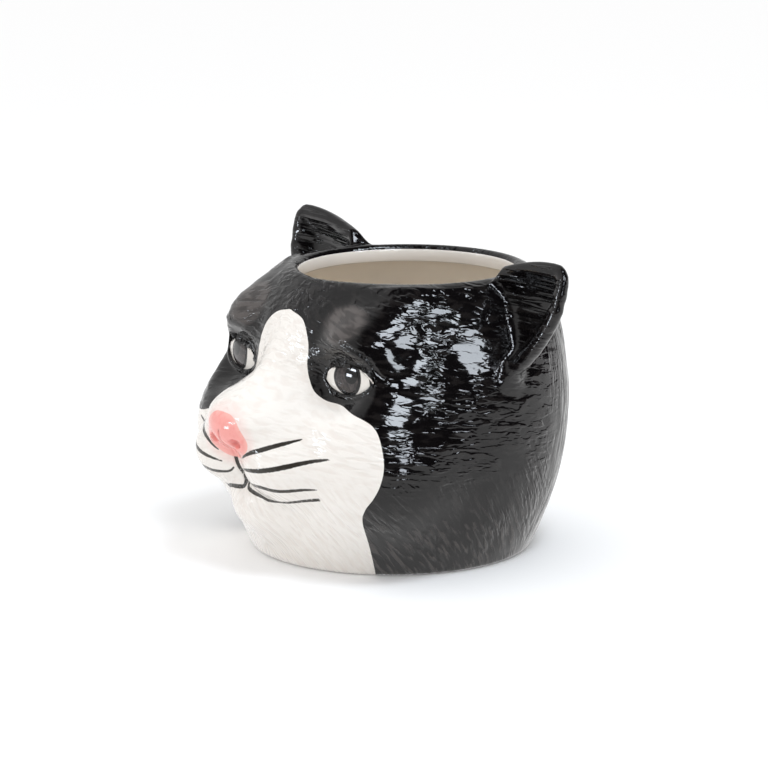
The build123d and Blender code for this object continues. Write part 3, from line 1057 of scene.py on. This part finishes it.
class PLANTER_OT_coat(bpy.types.Operator):
    """Make the glazed coats of the head, the white front, the nose and the ears"""
    bl_idname = "planter.coat"
    bl_label = "Head, front, nose and ears"

    def execute(self, context):
        glaze = context.scene.planter_glaze
        skin_lines[:] = [(on_skin(curve_points(points, 5)), radius, blend)
                         for points, radius, blend in CARVED_LINES]
        bm = settled_head(context.scene.planter_form)
        for name in ("nose_edge", "white_edge", "ear_edge", "lip_edge", "eye_edge"):
            contour_cut(bm, name)
        bm.normal_update()
        origin = bm.verts.layers.int.new("origin")
        for i, v in enumerate(bm.verts):
            v[origin] = i
        normals = np.array([v.normal[:] for v in bm.verts])
        middle = np.array([f.calc_center_median()[:] for f in bm.faces]) / MM
        middle = middle - np.array([FOOT_X, FOOT_Y, 0]) / MM
        under = (np.hypot(middle[:, 0], middle[:, 1]) < UNDERSIDE_RADIUS) & (middle[:, 2] < UNDERSIDE_HEIGHT)
        shown = (face_values(bm, "lip_edge") < 0) & (face_values(bm, "eye_edge") > 0) & ~under
        is_white = (face_values(bm, "white_edge") < 0) & shown
        is_nose = (face_values(bm, "nose_edge") < 0) & shown
        is_ear = (face_values(bm, "ear_edge") < 0) & shown
        black = black_glaze(glaze)
        for name, keep, material, node_name, slot in (
            ("black_coat", shown & ~is_white & ~is_nose & ~is_ear, black, "head_shell", "black_glaze"),
            ("white_front", is_white & ~is_nose & ~is_ear, white_glaze(glaze), "face_front", "white_glaze"),
            ("pink_nose", is_nose, pink_glaze(glaze), "nose_pad", "pink_glaze"),
            ("left_ear_coat", is_ear & (middle[:, 0] > 0), black, "left_ear", "black_glaze"),
            ("right_ear_coat", is_ear & (middle[:, 0] < 0), black, "right_ear", "black_glaze"),
        ):
            obj = coat_piece(bm, name, keep, normals, material)
            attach(obj, "root")
            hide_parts(node_name)
        bm.free()
        return {"FINISHED"}


class PLANTER_OT_eyes(bpy.types.Operator):
    """Make the two eyes, each a glazed eyeball with its painted iris"""
    bl_idname = "planter.eyes"
    bl_label = "Eyes"

    def execute(self, context):
        material = eye_glaze(context.scene.planter_glaze)
        turn = Matrix.Rotation(radians(EYE_TURN), 4, "Z")
        place = Matrix.Translation(EYEBALL_CENTRE) @ turn @ Matrix.Diagonal((*EYEBALL_RADII, 1))
        for side, name in ((1, "left"), (-1, "right")):
            bm = bmesh.new()
            bmesh.ops.create_uvsphere(bm, u_segments=256, v_segments=192, radius=1.0,
                                      matrix=Matrix.Rotation(radians(90), 4, "X"))
            bmesh.ops.transform(bm, matrix=place, verts=bm.verts)
            e = (bmesh_points(bm) - EYE_CENTRE) @ EYE_AXES
            past_lids = outline_distance(e[:, :2], eye_outline) > EYEBALL_SKIRT
            unseen = past_lids | (e[:, 2] < EYEBALL_BACK)
            bmesh.ops.delete(bm, geom=[v for v, hide in zip(bm.verts, unseen) if hide], context="VERTS")
            p = bmesh_points(bm)
            e = (p - EYE_CENTRE) @ EYE_AXES
            from_iris = (e[:, :2] - np.array(IRIS_CENTRE)) / np.array(IRIS_RADII)
            from_pupil = (e[:, :2] - np.array(PUPIL_CENTRE)) / PUPIL_RADIUS
            add_layer(bm, "iris", np.linalg.norm(from_iris, axis=1))
            add_layer(bm, "pupil", np.linalg.norm(from_pupil, axis=1))
            drop = 0 if side > 0 else RIGHT_EYE_DROP
            set_points(bm, to_frame(p * np.array([side, 1, 1]) - np.array([0, 0, drop])))
            if side < 0:
                bmesh.ops.reverse_faces(bm, faces=bm.faces)
            mesh = bpy.data.meshes.new(name + "_eyeball")
            bm.to_mesh(mesh)
            bm.free()
            mesh.shade_smooth()
            mesh.materials.append(material)
            obj = link(name + "_eyeball", mesh)
            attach(obj, "root")
            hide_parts(name + "_eye", name + "_iris")
        return {"FINISHED"}


class PLANTER_OT_inside(bpy.types.Operator):
    """Make the cream collar and finish the lining, the floor and the foot"""
    bl_idname = "planter.inside"
    bl_label = "Inside and foot"

    def execute(self, context):
        glaze = context.scene.planter_glaze
        bm = bmesh.new()
        verts = [bm.verts.new((r, 0, z)) for r, z in COLLAR_PROFILE]
        edges = [bm.edges.new(pair) for pair in zip(verts, verts[1:] + verts[:1])]
        bmesh.ops.spin(bm, geom=verts + edges, cent=(0, 0, 0), axis=(0, 0, 1), angle=radians(360),
                       steps=160, use_merge=True)
        bmesh.ops.remove_doubles(bm, verts=bm.verts, dist=1e-4)
        set_points(bm, to_frame(bmesh_points(bm) + np.array([0, MOUTH_SETBACK, 0])))
        bmesh.ops.recalc_face_normals(bm, faces=bm.faces)
        mesh = bpy.data.meshes.new("cream_collar")
        bm.to_mesh(mesh)
        bm.free()
        mesh.shade_smooth()
        mesh.materials.append(cream_glaze("cream_collar_glaze", glaze.white))
        obj = link("cream_collar", mesh)
        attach(obj, "root")
        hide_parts("rim_collar")
        cream = cream_glaze("cream_lining_glaze", glaze.cream)
        finishes = (("inner_lining", cream), ("pot_floor", cream), ("foot_ring", bare_clay(glaze)))
        for name, material in finishes:
            for slot in bpy.data.objects[name].material_slots:
                slot.material = material
        return {"FINISHED"}


def studio_floor():
    """Matt white floor, which the glaze mirrors dark away from the planter on the camera's side."""
    bm = bmesh.new()
    bmesh.ops.create_grid(bm, x_segments=1, y_segments=1, size=FLOOR_REACH)
    mesh = bpy.data.meshes.new("floor")
    bm.to_mesh(mesh)
    bm.free()
    mat, tree = new_material("studio_floor")
    path = node(tree, "LightPath").node
    spot = node(tree, "TexCoord", output="Object")
    away = node(tree, "VectorMath", (spot, FLOOR_WAY), "Value", operation="DOT_PRODUCT")
    lit = node(tree, "MapRange", (away, 0.26, 0.34, 1.0, 0.03), **SMOOTH)
    white = node(tree, "BsdfDiffuse", {"Color": FLOOR_WHITE})
    mirrored_floor = node(tree, "Emission", {"Strength": lit})
    glow = node(tree, "Emission", {"Strength": 0.10})
    seen_glow = node(tree, "MixShader", {0: path.outputs["Is Camera Ray"], 2: glow})
    plain = node(tree, "AddShader", (white, seen_glow))
    both = node(tree, "MixShader", (path.outputs["Is Glossy Ray"], plain, mirrored_floor))
    node(tree, "OutputMaterial", {"Surface": both})
    mesh.materials.append(mat)
    return link("floor", mesh)


def light_room(scene):
    """White room, which the glaze mirrors dark on the camera's side, and its softboxes."""
    world = bpy.data.worlds.new("studio")
    scene.world = world
    world.use_nodes = True
    tree = world.node_tree
    tree.nodes.clear()
    way = node(tree, "TexCoord", output="Generated")
    side = node(tree, "VectorMath", (way, ROOM_WAY), "Value", operation="DOT_PRODUCT")
    dark = node(tree, "MapRange", (side, -0.15, 0.25, 0.62, 0.015), **SMOOTH)
    fill = node(tree, "MapRange", (side, -0.8, 0.8, 1.38, 0.80), **SMOOTH)
    path = node(tree, "LightPath").node
    soft = node(tree, "Mix", {0: path.outputs["Is Glossy Ray"], 2: fill, 3: dark})
    level = node(tree, "Mix", {0: path.outputs["Is Camera Ray"], 2: soft, 3: 1.0})
    back = node(tree, "Background", {"Color": (1, 1, 1, 1), "Strength": level})
    node(tree, "OutputWorld", {"Surface": back})
    for name, way, far, size, power in SOFTBOXES:
        lamp = bpy.data.lights.new(name, "AREA")
        lamp.shape = "RECTANGLE"
        lamp.size, lamp.size_y = size
        lamp.energy = power
        lamp.color = linear("#e6eef7")
        holder = bpy.data.objects.new(name, lamp)
        holder.visible_diffuse = name == "softbox_above"
        scene.collection.objects.link(holder)
        holder.location = Vector(LIGHT_AIM) + Vector(way).normalized() * far
        holder.rotation_euler = Vector(way).to_track_quat("Z", "Y").to_euler()


def photograph_camera(scene):
    """Camera that sees the planter as the photograph does."""
    eye = bpy.data.cameras.new("photograph")
    camera = bpy.data.objects.new("photograph", eye)
    scene.collection.objects.link(camera)
    az, el = radians(PHOTO_AZIMUTH), radians(PHOTO_ELEVATION)
    back_way = Vector((np.sin(az) * np.cos(el), -np.cos(az) * np.cos(el), np.sin(el)))
    camera.location = Vector((FOOT_X, FOOT_Y, PHOTO_AIM_HEIGHT)) + back_way * PHOTO_DISTANCE
    camera.rotation_euler = back_way.to_track_quat("Z", "Y").to_euler()
    eye.sensor_width = SENSOR_WIDTH
    eye.lens = PHOTO_FOCAL / PHOTO_PIXELS * SENSOR_WIDTH
    eye.shift_x = PHOTO_SHIFT_X / PHOTO_PIXELS
    eye.shift_y = PHOTO_SHIFT_Y / PHOTO_PIXELS
    scene.camera = camera


class PLANTER_OT_stage(bpy.types.Operator):
    """Set up the floor, the studio light and the camera"""
    bl_idname = "planter.stage"
    bl_label = "Stage"

    def execute(self, context):
        floor = studio_floor()
        light_room(context.scene)
        photograph_camera(context.scene)
        context.scene.view_settings.view_transform = "Standard"
        return {"FINISHED"}


class PLANTER_PT_panel(bpy.types.Panel):
    """Planter tools"""
    bl_label = "Planter"
    bl_space_type = "VIEW_3D"
    bl_region_type = "UI"
    bl_category = "Planter"

    def draw(self, context):
        for name in STEPS:
            self.layout.operator(name)


CLASSES = (PlanterForm, PlanterGlaze, PLANTER_OT_coat, PLANTER_OT_eyes, PLANTER_OT_inside,
           PLANTER_OT_stage, PLANTER_PT_panel)


def register():
    for cls in CLASSES:
        bpy.utils.register_class(cls)
    bpy.types.Scene.planter_form = PointerProperty(type=PlanterForm)
    bpy.types.Scene.planter_glaze = PointerProperty(type=PlanterGlaze)


def unregister():
    del bpy.types.Scene.planter_form
    del bpy.types.Scene.planter_glaze
    for cls in reversed(CLASSES):
        bpy.utils.unregister_class(cls)


def main():
    register()
    bpy.ops.planter.stage()
    bpy.ops.planter.coat()
    bpy.ops.planter.eyes()
    bpy.ops.planter.inside()


if __name__ == "__main__":
    main()
